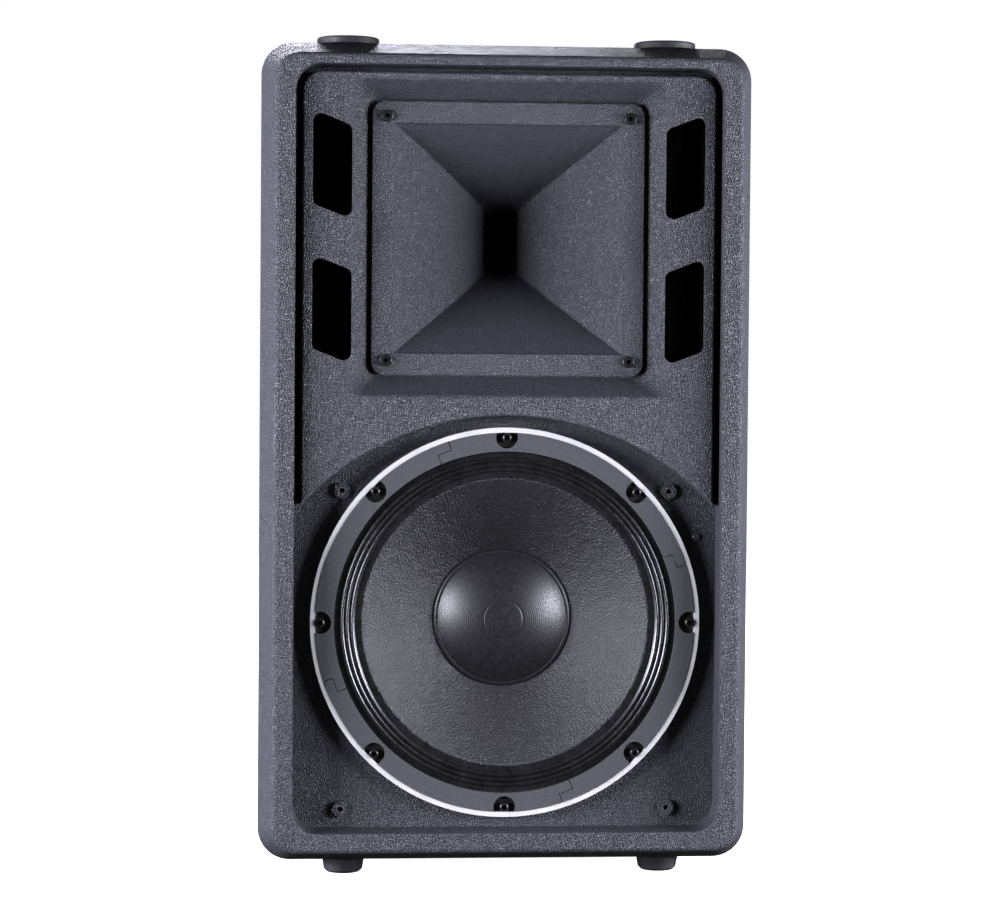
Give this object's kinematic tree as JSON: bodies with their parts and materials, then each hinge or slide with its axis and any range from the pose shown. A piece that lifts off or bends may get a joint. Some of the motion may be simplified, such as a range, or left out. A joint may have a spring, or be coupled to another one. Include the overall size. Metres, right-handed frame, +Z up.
{
  "type": "pa speaker cabinet",
  "caption": "Moulded two-way PA loudspeaker with a round woofer below a square horn, slanted bass ports, carrying handles, pole socket and rear amplifier panel.",
  "frame": {"origin": "on the floor under the middle of the cabinet", "axes": "+Z up, the horn and woofer face -Y, +X to the right seen from the front"},
  "size_m": [0.394, 0.36, 0.6715],
  "materials": {
    "shell": "leather grain",
    "rubber": "matte",
    "black_steel": "satin black",
    "steel": "zinc plated",
    "duct": "smooth",
    "lamp": "smoked lens",
    "basket": "powder coated",
    "trim": "bright",
    "gasket": "fibre board",
    "surround": "coated cloth",
    "paper": "pressed pulp",
    "cap": "coated paper",
    "former": "polyimide",
    "copper": "enamelled wire",
    "spider": "treated cotton",
    "ferrite": "ground",
    "horn": "fine grain",
    "titanium": "satin",
    "panel": "textured black",
    "sink": "black anodised",
    "socket": "moulded",
    "tab": "grey",
    "rocker": "polished",
    "knob": "soft touch",
    "board": "solder mask",
    "brass": "turned",
    "capacitor": "sleeve",
    "winding": "tape"
  },
  "bodies": {
    "cabinet": {"front_shell": "shell", "rear_shell": "shell", "seam_gasket": "rubber", "shell_screws": "black_steel", "feet": "rubber", "foot_screws": "black_steel", "stacking_discs": "shell", "rigging_inserts": "steel", "grille_inserts": "black_steel", "pole_socket": "duct", "pole_socket_screws": "black_steel", "handle_cup_left": "shell", "handle_cup_right": "shell", "handle_screws": "black_steel", "port_ducts": "duct", "status_lamp": "lamp", "woofer_basket": "basket", "woofer_trim_ring": "trim", "woofer_gasket": "gasket", "woofer_screws": "black_steel", "woofer_surround": "surround", "spider": "spider", "woofer_top_plate": "steel", "woofer_magnet": "ferrite", "woofer_back_plate": "steel", "woofer_terminals": "steel", "horn": "horn", "horn_gasket": "rubber", "horn_screws": "black_steel", "hf_pole_plate": "steel", "hf_magnet": "ferrite", "hf_top_plate": "steel", "hf_suspension": "former", "hf_rear_cover": "duct", "hf_driver_bolts": "black_steel", "amp_gasket": "rubber", "amp_panel": "panel", "amp_screws": "black_steel", "heatsink": "sink", "signal_sockets": "socket", "mains_inlet": "socket", "switch_frame": "socket", "potentiometers": "steel", "main_board": "board", "board_standoffs": "brass", "capacitors": "capacitor", "transformer": "winding", "transformer_bolt": "steel"},
    "cone": {"woofer_cone": "paper", "woofer_dust_cap": "cap", "voice_coil_former": "former", "voice_coil": "copper"},
    "diaphragm": {"hf_diaphragm": "titanium", "hf_voice_coil": "copper"},
    "level_knob": {"level_knob": "knob"},
    "tone_knob": {"tone_knob": "knob"},
    "rocker": {"rocker": "rocker"},
    "push_button": {"push_button": "knob"},
    "release_tab": {"release_tab": "tab"},
    "fuse_drawer": {"fuse_drawer": "socket"}
  },
  "joints": [
    {"name": "cone_travel", "type": "slide", "parent": "cabinet", "child": "cone", "axis": [0, -1, 0], "range_m": [-0.005, 0.005], "stiffness_N_per_m": 3000, "deforming": ["woofer_surround", "spider"]},
    {"name": "diaphragm_travel", "type": "slide", "parent": "cabinet", "child": "diaphragm", "axis": [0, -1, 0], "range_m": [-0.0004, 0.0004], "stiffness_N_per_m": 4000, "deforming": ["hf_suspension"]},
    {"name": "level_turn", "type": "hinge", "parent": "cabinet", "child": "level_knob", "pos_m": [0.034, 0.1595, 0.29], "axis": [0, 1, 0], "range_deg": [-150, 150]},
    {"name": "tone_turn", "type": "hinge", "parent": "cabinet", "child": "tone_knob", "pos_m": [0.078, 0.1595, 0.29], "axis": [0, 1, 0], "range_deg": [-150, 150]},
    {"name": "rocker_tilt", "type": "hinge", "parent": "cabinet", "child": "rocker", "pos_m": [-0.022, 0.1555, 0.212], "axis": [1, 0, 0], "range_deg": [-24, 0]},
    {"name": "button_press", "type": "slide", "parent": "cabinet", "child": "push_button", "axis": [0, -1, 0], "range_m": [0, 0.002], "stiffness_N_per_m": 600},
    {"name": "tab_press", "type": "slide", "parent": "cabinet", "child": "release_tab", "axis": [0, -1, 0], "range_m": [0, 0.0015], "stiffness_N_per_m": 800},
    {"name": "drawer_pull", "type": "slide", "parent": "cabinet", "child": "fuse_drawer", "axis": [0, 1, 0], "range_m": [0, 0.016]}
  ]
}
